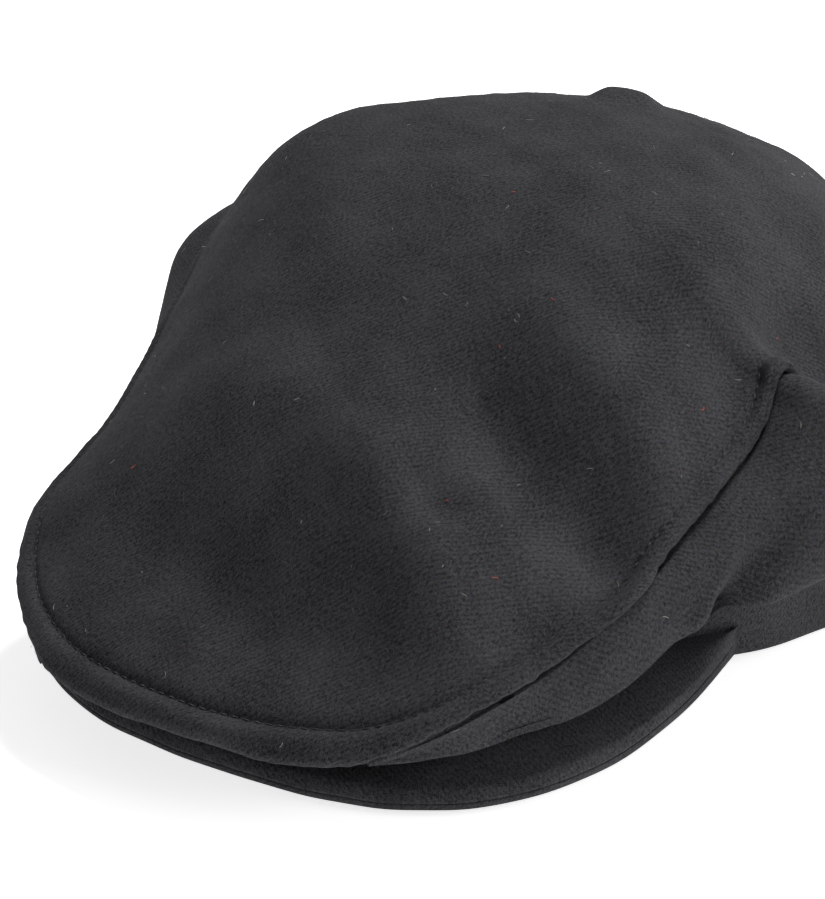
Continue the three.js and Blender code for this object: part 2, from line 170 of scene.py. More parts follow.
def spline(stations, count):
    """count points, evenly spaced, on a smooth curve through the stations."""
    knots = np.asarray(stations, float)
    padded = np.vstack([2 * knots[0] - knots[1], knots, 2 * knots[-1] - knots[-2]])
    chords = np.maximum(np.linalg.norm(np.diff(padded, axis=0), axis=1), 1e-6) ** 0.5
    at = np.concatenate([[0], np.cumsum(chords)])
    dense = []
    for i in range(1, len(padded) - 2):
        p0, p1, p2, p3 = padded[i - 1:i + 3]
        t0, t1, t2, t3 = at[i - 1:i + 3]
        t = np.linspace(t1, t2, 24, endpoint=False)[:, None]
        a1 = (t1 - t) / (t1 - t0) * p0 + (t - t0) / (t1 - t0) * p1
        a2 = (t2 - t) / (t2 - t1) * p1 + (t - t1) / (t2 - t1) * p2
        a3 = (t3 - t) / (t3 - t2) * p2 + (t - t2) / (t3 - t2) * p3
        b1 = (t2 - t) / (t2 - t0) * a1 + (t - t0) / (t2 - t0) * a2
        b2 = (t3 - t) / (t3 - t1) * a2 + (t - t1) / (t3 - t1) * a3
        dense.append((t2 - t) / (t2 - t1) * b1 + (t - t1) / (t2 - t1) * b2)
    return resample(np.vstack([*dense, knots[-1:]]), count)


def run_along(points):
    """How far along a line of points each of them lies."""
    return np.concatenate([[0], np.cumsum(np.linalg.norm(np.diff(points, axis=0), axis=1))])


def run_across(rows):
    """How far along its row each point of [row, column] lies."""
    steps = np.linalg.norm(np.diff(rows, axis=1), axis=2)
    return np.concatenate([np.zeros((len(rows), 1)), np.cumsum(steps, axis=1)], axis=1)


def resample(points, count):
    run = run_along(points)
    wanted = np.linspace(0, run[-1], count)
    return np.stack([np.interp(wanted, run, points[:, k]) for k in range(points.shape[1])], 1)


def unit(vectors):
    return vectors / np.maximum(np.linalg.norm(vectors, axis=-1, keepdims=True), 1e-9)


def waves(points, seed, count, low, high):
    """Smooth noise between about -1 and 1: a sum of seeded sine waves of the given lengths."""
    draw = random.Random(seed)
    total = np.zeros(points.shape[:-1])
    for _ in range(count):
        turn = draw.uniform(0, 2 * math.pi)
        tilt = draw.uniform(-0.6, 0.6)
        length = draw.uniform(low, high)
        way = np.array([math.cos(turn), math.sin(turn), tilt]) * 2 * math.pi / length
        total += np.sin(points @ way + draw.uniform(0, 2 * math.pi))
    return total / math.sqrt(count)


# ---------------- meshes
def add_object(name, data):
    obj = bpy.data.objects.new(name, data)
    bpy.context.scene.collection.objects.link(obj)
    return obj


def make_mesh(name, points, faces, weave=None):
    """A smooth-shaded mesh object. weave is each point's place on the flat cloth, in mm."""
    mesh = bpy.data.meshes.new(name)
    faces = np.asarray(faces, np.int32)
    mesh.vertices.add(len(points))
    mesh.vertices.foreach_set("co", place(points).astype(np.float32).ravel())
    mesh.loops.add(faces.size)
    mesh.loops.foreach_set("vertex_index", faces.ravel())
    mesh.polygons.add(len(faces))
    starts = np.arange(0, faces.size, faces.shape[1], dtype=np.int32)
    mesh.polygons.foreach_set("loop_start", starts)
    mesh.update(calc_edges=True)
    mesh.polygons.foreach_set("use_smooth", np.ones(len(faces), bool))
    if weave is not None:
        flat = np.zeros((len(points), 3), np.float32)
        flat[:, :2] = weave
        attribute = mesh.attributes.new("weave", "FLOAT_VECTOR", "POINT")
        attribute.data.foreach_set("vector", flat.ravel())
    mesh.validate()
    return add_object(name, mesh)


def grid_faces(rows, columns, closed=False):
    """Quads over a grid of points; closed joins the last column to the first."""
    i = np.arange(rows - 1)[:, None]
    j = np.arange(columns if closed else columns - 1)[None, :]
    next_j = (j + 1) % columns
    below = (i + 1) * columns
    corners = [i * columns + j, i * columns + next_j, below + next_j, below + j]
    return np.stack([np.broadcast_to(c, (rows - 1, j.size)).ravel() for c in corners], 1)


def grid_normals(grid):
    """Normals of a grid of points [row, column], from each point's neighbours."""
    return unit(np.cross(np.gradient(grid, axis=0), np.gradient(grid, axis=1)))


def cloth_places(section):
    """Each point's place on the flat cloth: lengths along the rows and round the section."""
    steps = np.linalg.norm(np.diff(section, axis=1), axis=2)
    over = run_across(section)
    run = run_along(section[:, np.argmax(steps.sum(axis=0).cumsum() > steps.sum() * 0.3)])
    return np.stack([np.broadcast_to(run[:, None], over.shape), over], -1)


def closed_cloth(name, section, weave, closed_rows=False):
    """A solid piece of cloth from full cross-sections [row, point round the section]."""
    rows, columns = section.shape[:2]
    points = section.reshape(-1, 3)
    places = weave.reshape(-1, 2)
    faces = grid_faces(rows, columns, closed=True)
    if closed_rows:
        j = np.arange(columns)
        last = (rows - 1) * columns
        ring = np.stack([last + j, last + (j + 1) % columns, (j + 1) % columns, j], 1)
        return make_mesh(name, points, outward(points, np.vstack([faces, ring])), places)
    caps = []
    half = columns // 2
    for base, turned in ((0, True), ((rows - 1) * columns, False)):
        k = np.arange(half - 1)
        cap = np.stack([base + k, base + k + 1, base + columns - 2 - k, base + columns - 1 - k], 1)
        caps.append(cap[:, ::-1] if turned else cap)
    return make_mesh(name, points, outward(points, np.vstack([faces, *caps])), places)


def outward(points, faces):
    """The faces of a closed piece, turned round if they look inwards."""
    a, b, c, d = (points[faces[:, k]] for k in range(4))
    volume = np.sum(a * np.cross(b, c)) + np.sum(a * np.cross(c, d))
    return faces if volume > 0 else faces[:, ::-1]


# ---------------- top panel
HALF_ROWS = 400          # rows from the middle line out to the seam, front to back
FIELD_COLUMNS = 50       # points across a row up to the border
BORDER_COLUMNS = 36      # and in the border, where the stitches pull the cloth in
BORDER_START = 0.86      # where the border begins, as a share of the row
INNER_STEP = 3           # the inner face has one point for so many outer ones
FIRST_ROW_Y = -88        # where the rows leave the middle line, at the front
LAST_ROW_Y = 42          # and at the back
LIP_END_Y = (-149, -134)  # the folded edge changes from lip to seam between these
# Relief of the folded edge. Pairs are at the sides and along the lip.
PIT_DEPTH = 0.34         # how far each stitch pulls the cloth in
PIT_WIDTH = 0.7
VALLEY_DEPTH = (0.3, 0.75)  # the whole line of stitches lies this deep
VALLEY_WIDTH = (1.3, 2.0)
ROLL_HEIGHT = 0.5        # of the padded roll outside the stitches
PUCKER_HEIGHT = 0.12
EDGE_UNEVENNESS = (0.16, 0.04)
seam_left = spline(LEFT_SEAM, HALF_ROWS + 1)
seam_right = spline(RIGHT_SEAM, HALF_ROWS + 1)
seam_right[0] = seam_left[0]
seam_right[-1] = seam_left[-1]
spine_line = spline([(0, *p) for p in SPINE], 600)


def edge_at(seam, y):
    """Distance from the middle and height of a side's seam at each y."""
    return np.abs(np.interp(y, seam[:, 1], seam[:, 0])), np.interp(y, seam[:, 1], seam[:, 2])


def relief(x, y, bumps):
    """The summed heights of soft dents and folds at each place in plan."""
    total = np.zeros_like(x)
    for centre_x, centre_y, degrees, half_length, half_width, height in bumps:
        turn = math.radians(degrees)
        along = (x - centre_x) * math.cos(turn) + (y - centre_y) * math.sin(turn)
        across = (y - centre_y) * math.cos(turn) - (x - centre_x) * math.sin(turn)
        total += height * np.exp(-(along / half_length) ** 4 - (across / half_width) ** 2)
    return total


def top_height(x, y):
    """Height of the top panel over a place in plan."""
    left_width, left_edge = edge_at(seam_left, y)
    right_width, right_edge = edge_at(seam_right, y)
    width = np.where(x >= 0, left_width, right_width)
    edge = np.where(x >= 0, left_edge, right_edge)
    middle = np.maximum(np.interp(y, spine_line[:, 1], spine_line[:, 2]), edge + 0.3)
    arches = [np.interp(y, *np.transpose(arch)) for arch in (LEFT_ARCH, RIGHT_ARCH)]
    power = np.where(x >= 0, *arches)
    share = np.clip(np.abs(x) / np.maximum(width, 1e-3), 0, 1)
    fade = 1 - share ** 20
    return mix(edge, middle, 1 - share ** power) + relief(x, y, TOP_RELIEF) * fade


def seam_distance(rows):
    """Distance along the cloth from each grid column to the seam."""
    steps = np.linalg.norm(np.diff(rows, axis=1), axis=2)
    run = np.cumsum(steps[:, ::-1], axis=1)[:, ::-1]
    return np.concatenate([run, np.zeros((len(rows), 1))], axis=1)


def half_top(seam, shares):
    """One half of the top panel's outer face: rows from the middle out to the seam."""
    station = np.linspace(0, 1, HALF_ROWS + 1)
    centre_y = mix(FIRST_ROW_Y, LAST_ROW_Y, station)
    plan = np.zeros((HALF_ROWS + 1, len(shares), 3))
    plan[..., 0] = seam[:, None, 0] * shares
    plan[..., 1] = mix(centre_y[:, None], seam[:, None, 1], shares)
    plan[..., 2] = top_height(plan[..., 0], plan[..., 1])
    plan[:, -1, 2] = seam[:, 2]
    return plan


def lip_share(seam):
    """1 along the lip at the front, 0 along the sides."""
    return 1 - smoothstep(seam[:, 1], *LIP_END_Y)


def edge_puff(distance, seam):
    """The folded edge: a padded roll outside a pulled-in line of stitches, with puckers."""
    phase = np.cos(2 * math.pi * run_along(seam) / STITCH_PITCH)[:, None]
    lip = lip_share(seam)[:, None]
    inset = mix(STITCH_INSET, LIP_STITCH_INSET, lip)
    off = distance - inset
    pits = -PIT_DEPTH * (1 + 0.8 * phase) * np.exp(-(off / PIT_WIDTH) ** 2)
    valley = -mix(*VALLEY_DEPTH, lip) * np.exp(-(off / mix(*VALLEY_WIDTH, lip)) ** 2)
    roll = ROLL_HEIGHT * np.exp(-((distance - inset * 0.42) / (inset * 0.36)) ** 2)
    pucker = PUCKER_HEIGHT * phase * np.exp(-((off + 0.9) / 1.6) ** 2)
    return pits + valley + roll + pucker


def top_panel():
    """The panel itself, and its outer face, normals and distance to the seam for the stitches."""
    field = np.linspace(0, BORDER_START, FIELD_COLUMNS, endpoint=False)
    border = 1 - (1 - np.linspace(0, 1, BORDER_COLUMNS)) * (1 - BORDER_START)
    shares = np.concatenate([field, border])
    right, left = (half_top(seam, shares) for seam in (seam_right, seam_left))
    whole = np.concatenate([right[:, ::-1], left[:, 1:]], axis=1)
    normals = grid_normals(whole)
    normals *= np.sign(normals[..., 2:3])
    middle = len(shares) - 1
    normals[0] = normals[1]
    normals[0, :, 0] = 0
    normals[-1] = normals[-2]
    normals[-1, :, 0] = 0
    normals = unit(normals)
    distance = np.concatenate([
        seam_distance(right)[:, ::-1], seam_distance(left)[:, 1:]], axis=1)
    puff = np.concatenate([
        edge_puff(distance[:, :middle + 1], seam_right),
        edge_puff(distance[:, middle + 1:], seam_left)], axis=1)
    outer = whole + normals * puff[..., None]
    drift = waves(outer, 11, 9, 14, 34) * 0.18 + waves(outer, 12, 9, 4, 9) * 0.05
    outer += normals * drift[..., None]
    roll = mix(SEAM_ROLL, LIP_ROLL, lip_share(seam_left))[:, None, None]

    def folded(edge, inside, normal):
        """The half round of cloth from the outer face's edge to the inner face's."""
        out = unit(edge - inside)
        out = unit(out - normal * np.sum(out * normal, axis=1, keepdims=True))
        turn = np.linspace(0, math.pi, 11)[1:]
        centre = (edge - normal * roll[:, 0])[:, None]
        share = mix(*EDGE_UNEVENNESS, lip_share(seam_left))
        uneven = 1 + (share * waves(edge, 13, 8, 2.2, 6))[:, None, None]
        return centre + roll * (
            normal[:, None] * np.cos(turn)[:, None] + out[:, None] * np.sin(turn)[:, None] * uneven)

    # One section runs over the outer face, round the left fold, back along the inner face and
    # round the right fold.
    left_fold = folded(outer[:, -1], outer[:, -2], normals[:, -1])
    right_fold = folded(outer[:, 0], outer[:, 1], normals[:, 0])
    picked = np.arange(1, outer.shape[1] - 1, INNER_STEP)
    depth = mix(WOOL, 2 * roll[..., 0], np.exp(-distance / 5))[..., None]
    inner = (outer - normals * depth)[:, picked][:, ::-1]
    section = np.concatenate([outer, left_fold, inner, right_fold[:, ::-1]], axis=1)
    flat = top_places(section, outer.shape[1], left_fold.shape[1])
    weld_ends(section, outer.shape[1], left_fold.shape[1], inner.shape[1])
    obj = ring_mesh("top_panel_wool", section, flat)
    return obj, outer, normals, distance


def top_places(section, columns, fold):
    """Each point's place on the flat cloth, from lengths along the rays out from the middle."""
    middle = columns // 2
    centre = section[:, middle]
    flat = np.zeros((*section.shape[:2], 2))
    total = section.shape[1]
    leftwards = np.arange(middle, columns + fold)
    rightwards = np.concatenate([
        np.arange(middle, -1, -1), np.arange(total - 1, total - 1 - fold, -1)])
    for order, edge in ((leftwards, columns - 1), (rightwards, 0)):
        way = unit(section[:, edge, :2] - centre[:, :2])
        flat[:, order] = way[:, None] * run_across(section[:, order])[..., None]
    flat[..., 1] += run_along(centre)[:, None]
    inner = np.arange(columns + fold, total - fold)
    flat[:, inner] = section[:, inner, :2]
    return flat


def weld_ends(section, outer, fold, inner):
    """At both ends of the middle line the left and right halves meet in the same points."""
    for row in (0, -1):
        line = section[row]
        face = line[:outer]
        face[:, 0] = 0
        line[:outer] = (face + face[::-1]) / 2
        under = line[outer + fold:outer + fold + inner]
        under[:, 0] = 0
        line[outer + fold:outer + fold + inner] = (under + under[::-1]) / 2
        left = line[outer:outer + fold]
        right = line[outer + fold + inner:][::-1]
        both = (left + right) / 2
        both[:, 0] = 0
        line[outer:outer + fold] = both
        line[outer + fold + inner:] = both[::-1]


def ring_mesh(name, section, flat):
    """A closed cloth whose first and last rows fold flat onto themselves and are welded."""
    faces = grid_faces(*section.shape[:2], closed=True)
    obj = make_mesh(name, section.reshape(-1, 3), faces, flat.reshape(-1, 2))
    modifier = obj.modifiers.new("weld", "WELD")
    modifier.merge_threshold = 0.01 * MM
    bpy.context.view_layer.update()
    evaluated = obj.evaluated_get(bpy.context.evaluated_depsgraph_get())
    mesh = bpy.data.meshes.new_from_object(evaluated)
    obj.modifiers.clear()
    old = obj.data
    obj.data = mesh
    bpy.data.meshes.remove(old)
    mesh.name = obj.name
    return obj


# ---------------- side panels
SIDE_ROWS = 420
SEAM_SAMPLES = 900
HIDDEN_COLUMNS = 8       # points of a row that lie under the top panel
SEAM_TUCK = 7            # how far a side panel runs in under the top panel
SEAM_DROP = (3.2, 2.9)   # how far below the seam it lies: at its hidden edge, where it comes out
SIDE_LENGTH = 330        # roughly, from its point to the middle of the back
TIP_GROWTH = 16          # over which a side panel's point reaches its full section
TIP_THICKNESS = 0.5
FREE_END_Y = (-82, -58)  # between these the free edge runs up onto the headband


def band_point(x, y, grow, z):
    """The point of the headband's outline, grown outwards, in the direction of x and y."""
    angle = np.arctan2(x / BAND_HALF_WIDTH, -y / BAND_HALF_LENGTH)
    return np.stack([
        (BAND_HALF_WIDTH + grow) * np.sin(angle), -(BAND_HALF_LENGTH + grow) * np.cos(angle),
        np.full_like(angle, z)], -1)


def bezier(points, count):
    """Points on a Bezier curve for each row; points is a list of arrays [row, 3]."""
    share = np.linspace(0, 1, count)[None, :, None]
    level = [p[:, None, :] for p in points]
    while len(level) > 1:
        level = [mix(a, b, share) for a, b in zip(level, level[1:])]
    return level[0]


def path_relief(points, paths):
    """Ridges and creases along smooth paths, fading at both ends."""
    total = np.zeros(points.shape[:-1])
    for stations, width, height in paths:
        line = spline(stations, 60)
        best = np.full(points.shape[:-1], 1e9)
        place_on = np.zeros(points.shape[:-1])
        for share, spot in zip(np.linspace(0, 1, 60), line):
            gap = np.linalg.norm(points - spot, axis=-1)
            nearer = gap < best
            best = np.where(nearer, gap, best)
            place_on = np.where(nearer, share, place_on)
        fade = smoothstep(place_on, -0.1, 0.15) * (1 - smoothstep(place_on, 0.55, 1))
        total += height * fade * np.exp(-(best / width) ** 2)
    return total


def side_panel(name, seam_stations, fold_stations, full, bulges, paths, seed):
    """One side panel: from under the top panel's edge, over the fold, to the headband."""
    seam_all = spline(seam_stations, SEAM_SAMPLES)
    fold = resample(spline(fold_stations, SEAM_SAMPLES), SIDE_ROWS)
    first = np.searchsorted(seam_all[:, 1], SIDE_POINT_Y)
    seam_part = resample(seam_all[first:], SEAM_SAMPLES)
    # each fold point takes the seam point at the matching share of the way to the back
    share = np.linspace(0, 1, SIDE_ROWS)
    pull = np.interp(share, [0, 0.22, 0.5, 1], [0, 0.24, 0.52, 1])
    run = np.linspace(0, 1, SEAM_SAMPLES)
    seam = np.stack([np.interp(pull, run, seam_part[:, k]) for k in range(3)], 1)
    lean = np.clip(-seam[:, 1] * 0.35, -40, 40)
    inward = unit(np.stack([-seam[:, 0], lean, np.zeros(SIDE_ROWS)], 1))
    grown = smoothstep(share * SIDE_LENGTH, 0, TIP_GROWTH)[:, None]
    down = np.array([0, 0, -1.0])
    hidden = seam + inward * SEAM_TUCK * grown + down * SEAM_DROP[0]
    groove = seam + down * SEAM_DROP[1] - inward * 0.2
    height = (seam[:, 2] - fold[:, 2])[:, None]
    shoulder = fold * (1, 1, 0) + (0, 0, 1) * (seam[:, 2:] - 0.18 * height)
    fullness = np.interp(fold[:, 1], *np.transpose(full))[:, None]
    shoulder = mix(mix(groove, fold, 0.45), shoulder, fullness)
    upper = bezier([groove, shoulder, fold + down * -0.30 * height, fold], 70)
    free = fold * (0.955, 0.972, 1) + (0, 0, 1.2)
    tucked = band_point(fold[:, 0], fold[:, 1], 1.4, BAND_TOP + 1.6)
    reach = smoothstep(fold[:, 1], *FREE_END_Y)[:, None]
    end = mix(free, tucked, reach)
    under = fold + down * (1.7 + 0.6 * reach)
    lower = bezier([fold, under, mix(under, end, 0.45), end], 22)[:, 1:]
    start = bezier([hidden, mix(hidden, groove, 0.5), groove], HIDDEN_COLUMNS)[:, :-1]
    outer = np.concatenate([start, upper, lower], axis=1)
    normals = grid_normals(outer)
    inside = outer.mean(axis=1, keepdims=True) * (0, 1, 0) + (0, 0, 30)
    normals[np.sum(normals * (outer - inside), axis=(1, 2)) < 0] *= -1
    visible = np.ones(outer.shape[1])
    visible[:HIDDEN_COLUMNS] = 0
    shift = waves(outer, seed, 10, 16, 40) * 0.35 + waves(outer, 23, 9, 4, 9) * 0.05
    for centre, radius, amount in bulges:
        gap = np.linalg.norm(outer - centre, axis=-1)
        shift += amount * np.exp(-(gap / radius) ** 2)
    shift += path_relief(outer, paths)
    outer = outer + normals * (shift * visible * grown)[..., None]
    thickness = mix(TIP_THICKNESS, WOOL, grown)[..., None]
    inner = (outer - normals * thickness)[:, ::-1][:, 1:-1][:, ::2]
    section = np.concatenate([outer, inner], axis=1)
    return closed_cloth(name, section, cloth_places(section))


# ---------------- headband
BAND_ROWS = 360


def band_bottom(angle):
    """Height of the headband's lower edge, by angle from the middle of the front."""
    degrees = np.abs(np.degrees(angle))
    arch = np.cos(math.pi / 2 * np.clip(degrees / BAND_ARCH_ANGLE, 0, 1)) ** BAND_ARCH_POWER
    return np.where(degrees < BAND_ARCH_ANGLE, BAND_FRONT_RISE * arch, 0)


def rounded_band(name, grow, thickness, lift, top, ripple):
    """A cloth band round the head with folded, rounded edges."""
    angle = np.linspace(-math.pi, math.pi, BAND_ROWS, endpoint=False)
    bottom = band_bottom(angle) + lift
    radius = thickness / 2
    middle = grow - radius
    profile = [(grow, mix(bottom + radius, top - radius, level)) for level in np.linspace(0, 1, 26)]
    for turn in np.linspace(0, math.pi, 9)[1:-1]:
        rise = radius * math.sin(turn)
        profile.append((middle + radius * math.cos(turn), top - radius + rise))
    for level in np.linspace(1, 0, 26):
        profile.append((grow - thickness, mix(bottom + radius, top - radius, level)))
    for turn in np.linspace(math.pi, 2 * math.pi, 9)[1:-1]:
        rise = radius * math.sin(turn)
        profile.append((middle + radius * math.cos(turn), bottom + radius + rise))
    section = np.zeros((BAND_ROWS, len(profile), 3))
    for j, (out, z) in enumerate(profile):
        splay = out + BAND_FLARE * np.clip(1 - z / BAND_TOP, 0, 1) ** 2
        section[:, j, 0] = (BAND_HALF_WIDTH + splay) * np.sin(angle)
        section[:, j, 1] = -(BAND_HALF_LENGTH + splay) * np.cos(angle)
        section[:, j, 2] = z
    wobble = waves(section, 31, 9, 18, 46) * ripple
    section[..., 0] += wobble * np.sin(angle)[:, None]
    section[..., 1] -= wobble * np.cos(angle)[:, None]
    run = angle * (BAND_HALF_WIDTH + BAND_HALF_LENGTH) / 2
    flat = np.stack([np.broadcast_to(run[:, None], section.shape[:2]), section[..., 2]], -1)
    return closed_cloth(name, section, flat, closed_rows=True)


# ---------------- visor
VISOR_CORNER_ANGLE = 57  # degrees round the headband from the middle of the front
VISOR_HALF_WIDTH = 75.4
VISOR_FRONT = -139
VISOR_CORNER_Y = -55.5
VISOR_ROUNDNESS = 0.75   # 1 is an ellipse, less is squarer
VISOR_ROOT_HEIGHT = 14   # middle of the visor's thickness at the headband
VISOR_ROOT_DROP = 5      # how much lower that is at the corners
VISOR_RIM_HEIGHT = 3.2
VISOR_RIM_RISE = 5.5     # how much higher the rim is at the corners
VISOR_CROWN = 1.2        # bulge between headband and rim
VISOR_END = 0.998        # the covers stop just short of the pointed corners
VISOR_GAP = 0.4          # between the board and its covers, and to the headband
BOARD_END = (0.974, 0.988)  # the covers close between these, beyond the board's ends
RIM_START = 0.985        # depth at which the covers turn round the board's edge
RIM_DEPTH = 1.03         # how far out they reach
COVER_GAP = 0.03         # half the space between the two covers at the rim
COVER = 1.4
BOARD = 1.6


def visor_surface(t, depth, offset):
    """A point between the headband (depth 0) and the rim (depth 1), offset upwards."""
    angle = np.radians(VISOR_CORNER_ANGLE) * t
    root_x = (BAND_HALF_WIDTH + VISOR_GAP) * np.sin(angle)
    root_y = -(BAND_HALF_LENGTH + VISOR_GAP) * np.cos(angle)
    turn = math.pi / 2 * t
    rim_x = VISOR_HALF_WIDTH * np.sign(t) * np.abs(np.sin(turn)) ** VISOR_ROUNDNESS
    rim_y = mix(VISOR_CORNER_Y, VISOR_FRONT, np.abs(np.cos(turn)) ** VISOR_ROUNDNESS)
    root_z = VISOR_ROOT_HEIGHT - VISOR_ROOT_DROP * t * t
    rim_z = VISOR_RIM_HEIGHT + VISOR_RIM_RISE * t * t
    z = mix(root_z, rim_z, depth) + VISOR_CROWN * np.sin(math.pi * np.clip(depth, 0, 1)) + offset
    return np.stack([mix(root_x, rim_x, depth), mix(root_y, rim_y, depth), z], -1)


def visor_cover(name, above):
    """A wool cover over or under the board, its rim turned round the board's edge."""
    t = (VISOR_END * np.sin(np.linspace(-math.pi / 2, math.pi / 2, 301)))[:, None]
    near, far = BOARD / 2 + VISOR_GAP, BOARD / 2 + VISOR_GAP + COVER
    sign = 1 if above else -1
    depth = np.concatenate([
        np.linspace(0, 0.9, 36, endpoint=False), np.linspace(0.9, RIM_START, 10)])
    outer = visor_surface(t, depth[None, :], sign * far)
    roll = []
    for turn in np.linspace(0, math.pi / 2, 8)[1:]:
        level = COVER_GAP + (far - COVER_GAP) * math.cos(turn)
        roll.append(visor_surface(t, mix(RIM_START, RIM_DEPTH, math.sin(turn)), sign * level))
    lip = np.concatenate(roll, axis=1)
    # beyond the board's ends the two covers close on each other
    inner = mix(near + 0.05, COVER_GAP, smoothstep(np.abs(t), *BOARD_END))
    back = visor_surface(t, np.linspace(RIM_START, 0, 23)[None, :], sign * inner)
    section = np.concatenate([outer, lip, back], axis=1)
    section[..., 2] += waves(section, 41, 8, 14, 36) * 0.12
    return closed_cloth(name, section, cloth_places(section))


# ---------------- lining, lip facing
# The lining's top: (y, half width, height at its edge, height in the middle).
LINING_TOP = [
    (-90, 24, 35.5, 37), (-84, 38, 36, 44), (-76, 48, 37, 54), (-60, 58, 40, 64.5),
    (-30, 65, 47, 77), (0, 66, 51, 84), (34, 62, 54, 82.5), (62, 46, 54, 74), (80, 27, 51, 62),
    (86, 14, 50, 54),
]
LINING_THICKNESS = 0.8
FLAP_BACK_Y = -103.3
FLAP_FRONT_Y = -144
FLAP_HALF_WIDTH = 51.8
FLAP_SIDE_DEPTH = 4
FLAP_ROUNDNESS = 2.6     # power of its front outline, 2 is an ellipse's
FLAP_THICKNESS = 1.4
FLAP_LIFT = 3.6          # underside above the visor at the headband
FLAP_FRONT_LIFT = 5.0    # further rise to the lip


def cloth_rows(name, outer, normals, thickness):
    """A thin closed cloth from its outer face [row, column] and the normals out of it."""
    inner = (outer - normals * thickness)[:, ::-1]
    section = np.concatenate([outer, inner], axis=1)
    return closed_cloth(name, section, cloth_places(section))


def lining_top():
    """The satin under the top panel, sagging a little between its seams."""
    table = spline(LINING_TOP, 300)
    y = mix(LINING_TOP[0][0], LINING_TOP[-1][0], (1 - np.cos(np.linspace(0, math.pi, 121))) / 2)
    half, edge, middle = (np.interp(y, table[:, 0], table[:, k])[:, None] for k in (1, 2, 3))
    share = np.sin(np.linspace(-math.pi / 2, math.pi / 2, 101))[None, :]
    rise = 1 - np.abs(share) ** 3
    x = half * share
    outer = np.stack([x, np.broadcast_to(y[:, None], x.shape), mix(edge, middle, rise)], -1)
    outer[..., 2] -= np.abs(waves(outer, 51, 8, 18, 44)) * 0.5 * rise
    normals = grid_normals(outer)
    normals *= np.sign(normals[..., 2:3] + 1e-9)
    return cloth_rows("lining_top_satin", outer, normals, LINING_THICKNESS)


def lining_side(name, sign):
    """The satin from the lining's top down to the sweatband; sign is +1 on the left."""
    table = spline([(x + 0.6, y, z - 1.6) for y, x, z, _ in LINING_TOP[1:]], 161)
    upper = table * (sign, 1, 1)
    hem_grow = SWEAT_GROW - SWEAT_THICKNESS + 1.2
    lower = band_point(upper[:, 0], upper[:, 1], hem_grow, SWEAT_TOP + 0.8)
    bulge = mix(upper, lower, 0.7) * (0.985, 1, 1)
    bulge[:, 2] = mix(upper[:, 2], lower[:, 2], 0.4)
    outer = bezier([upper, bulge, lower], 40)
    normals = grid_normals(outer)
    normals *= np.sign(np.sum(normals * outer * (1, 1, 0)))
    slack = 0.3 * np.sin(math.pi * np.linspace(0, 1, 40)[None, :])
    outer = outer + normals * (waves(outer, 52, 8, 9, 26) * slack)[..., None]
    return cloth_rows(name, outer, normals, LINING_THICKNESS)


def lip_facing():
    """The cotton that faces the lip from below, from the headband to the folded edge."""
    share = np.linspace(-1, 1, 121)[:, None]
    front = mix(FLAP_FRONT_Y, FLAP_BACK_Y - FLAP_SIDE_DEPTH, np.abs(share) ** FLAP_ROUNDNESS)
    y = mix(FLAP_BACK_Y, front, np.linspace(0, 1, 40)[None, :])
    slope = (VISOR_ROOT_HEIGHT - VISOR_RIM_HEIGHT) / (-VISOR_FRONT - BAND_HALF_LENGTH)
    above = VISOR_ROOT_HEIGHT + BOARD / 2 + VISOR_GAP + COVER + slope * (y + BAND_HALF_LENGTH)
    forward = (FLAP_BACK_Y - y) / (FLAP_BACK_Y - FLAP_FRONT_Y)
    z = above + FLAP_LIFT + VISOR_CROWN + FLAP_FRONT_LIFT * forward ** 3 + FLAP_THICKNESS
    outer = np.stack([np.broadcast_to(FLAP_HALF_WIDTH * share, y.shape), y, z], -1)
    normals = grid_normals(outer)
    normals *= np.sign(normals[..., 2:3])
    return cloth_rows("lip_facing_cotton", outer, normals, FLAP_THICKNESS)


# ---------------- threads and fibres
def tubes(name, paths, radii, side_count=4):
    """Thin closed tubes: paths [tube, ring, 3], radii [tube, ring]; one mesh for them all."""
    count, rings = paths.shape[:2]
    along = unit(np.gradient(paths, axis=1))
    helper = np.where(np.abs(along[..., 2:3]) > 0.8, (1.0, 0, 0), (0, 0, 1.0))
    across = unit(np.cross(along, helper))
    third = np.cross(along, across)
    turn = (np.arange(side_count) * 2 * math.pi / side_count)[:, None]
    ring = across[:, :, None] * np.cos(turn) + third[:, :, None] * np.sin(turn)
    points = paths[:, :, None] + ring * radii[..., None, None]
    quads = grid_faces(rings, side_count, closed=True)
    last = (rings - 1) * side_count
    ends = [[3, 2, 1, 0], [last, last + 1, last + 2, last + 3]]
    if side_count == 6:
        ends += [[5, 4, 3, 0], [last, last + 3, last + 4, last + 5]]
    one = np.vstack([quads, ends])
    faces = (one[None] + (np.arange(count) * rings * side_count)[:, None, None]).reshape(-1, 4)
    return make_mesh(name, points.reshape(-1, 3), faces)


def stitches(name, line, normals, pitch, length, radius, lift):
    """Short raised threads along a line on the cloth."""
    run = run_along(line)
    starts = np.arange(pitch / 2, run[-1] - length, pitch)
    share = np.linspace(0, 1, 7)
    at = starts[:, None] + share[None, :] * length
    path = np.stack([np.interp(at, run, line[:, k]) for k in range(3)], -1)
    out = unit(np.stack([np.interp(at, run, normals[:, k]) for k in range(3)], -1))
    arc = lift + radius * (1.9 * np.sin(math.pi * share) ** 0.6 - 1.4)
    path = path + out * arc[None, :, None]
    radii = np.broadcast_to(radius * (0.55 + 0.45 * np.sin(math.pi * share) ** 0.5), at.shape)
    return tubes(name, path, radii, 6)


